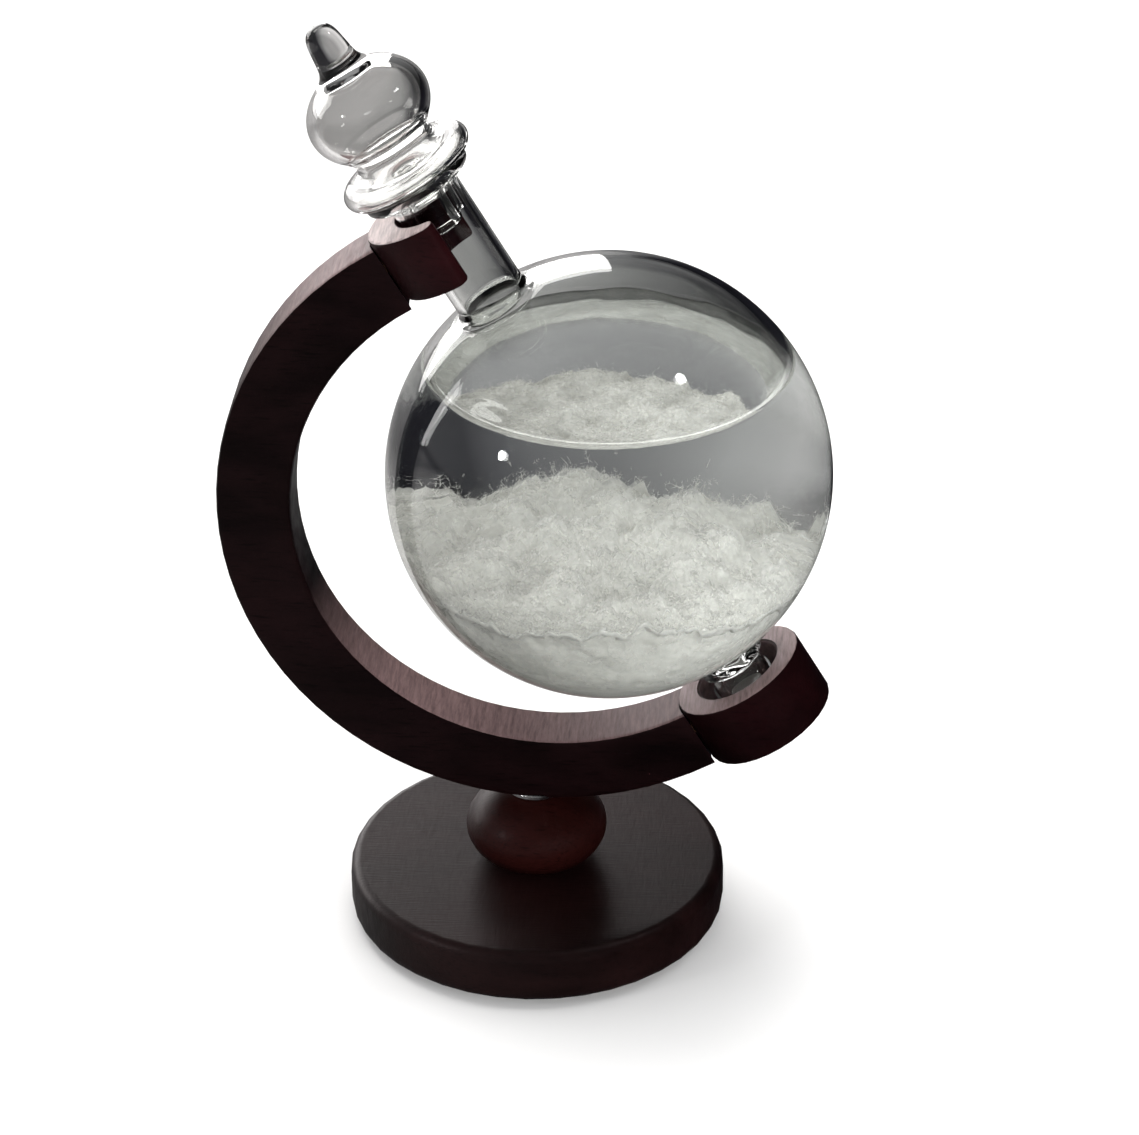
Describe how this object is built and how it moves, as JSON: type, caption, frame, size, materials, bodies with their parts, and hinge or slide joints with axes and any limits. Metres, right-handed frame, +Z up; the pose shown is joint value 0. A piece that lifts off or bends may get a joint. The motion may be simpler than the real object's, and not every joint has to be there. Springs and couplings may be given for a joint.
{
  "type": "storm glass",
  "caption": "Storm glass: a stoppered glass globe of liquid and crystals leaning in a wooden crescent stand on a round base, to be turned in its socket or lifted out.",
  "frame": {"origin": "centre of the underside of the felt pad that the base stands on", "axes": "+Z up; the crescent lies in the XZ plane, with the stopper leaning towards -X and the foot's socket towards +X; +Y points away from the side that the picture shows"},
  "size_m": [0.1104, 0.0796, 0.1772],
  "materials": {
    "felt": "matte",
    "wood_base": "satin",
    "wood_stem": "satin",
    "wood_arm": "satin",
    "wood_block": "satin",
    "wood_dowel": "matte",
    "steel": "satin",
    "glass": "gloss",
    "liquid": "gloss",
    "crystal": "matte",
    "silicone": "satin"
  },
  "bodies": {
    "stand": {"base_pad": "felt", "base_disc": "wood_base", "base_screw": "steel", "stem_ball": "wood_stem", "stem_washer": "steel", "arc_arm": "wood_arm", "fork_cradle": "wood_block", "fork_dowel": "wood_dowel", "socket_cup": "wood_block", "socket_dowel": "wood_dowel", "socket_cushion": "felt"},
    "contents": {"liquid": "liquid", "crystal_bed": "crystal", "crystal_cluster_left": "crystal", "crystal_cluster_middle": "crystal", "crystal_cluster_right": "crystal"},
    "globe": {"glass_globe": "glass"},
    "stopper": {"stopper": "glass", "stopper_seal": "silicone"}
  },
  "joints": [
    {"name": "globe_lift", "type": "slide", "parent": "stand", "child": "contents", "axis": [-0.506, 0, 0.8625], "range_m": [0, 0.0078]},
    {"name": "globe_spin", "type": "hinge", "parent": "contents", "child": "globe", "pos_m": [0.0139, 0, 0.0924], "axis": [-0.506, 0, 0.8625], "continuous": true},
    {"name": "stopper_lift", "type": "slide", "parent": "globe", "child": "stopper", "axis": [-0.506, 0, 0.8625], "range_m": [0, 0.03]}
  ]
}
